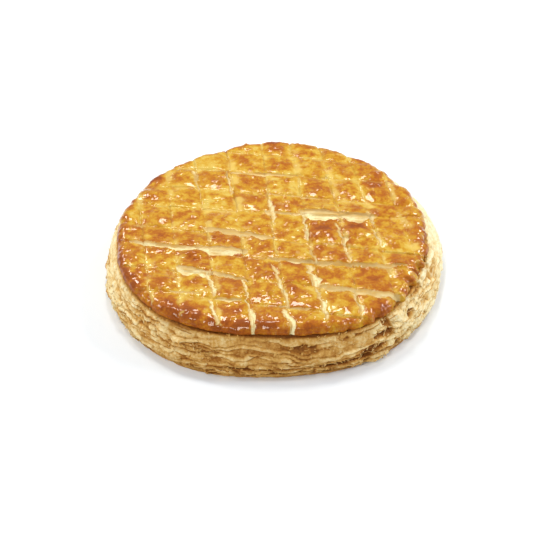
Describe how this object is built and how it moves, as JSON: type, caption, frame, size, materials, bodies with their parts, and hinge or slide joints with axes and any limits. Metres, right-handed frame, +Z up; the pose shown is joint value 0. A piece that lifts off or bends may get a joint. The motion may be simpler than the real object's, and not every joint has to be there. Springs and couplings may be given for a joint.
{
  "type": "galette des rois",
  "caption": "Round puff pastry tart, whole and uncut, with a glazed lid scored in a slanted lattice and flaky layered sides.",
  "frame": {"origin": "the middle of the tart's box, on the flat foot that it stands on", "axes": "+Z up; the knife cuts called across run nearly along X, those called away nearly along Y; the pictured side faces -Y"},
  "size_m": [0.2592, 0.2594, 0.0368],
  "materials": {
    "crust": "baked puff pastry: glazed golden brown lid, pale matte flaky side"
  },
  "bodies": {
    "root": {"galette": "crust"}
  },
  "joints": []
}
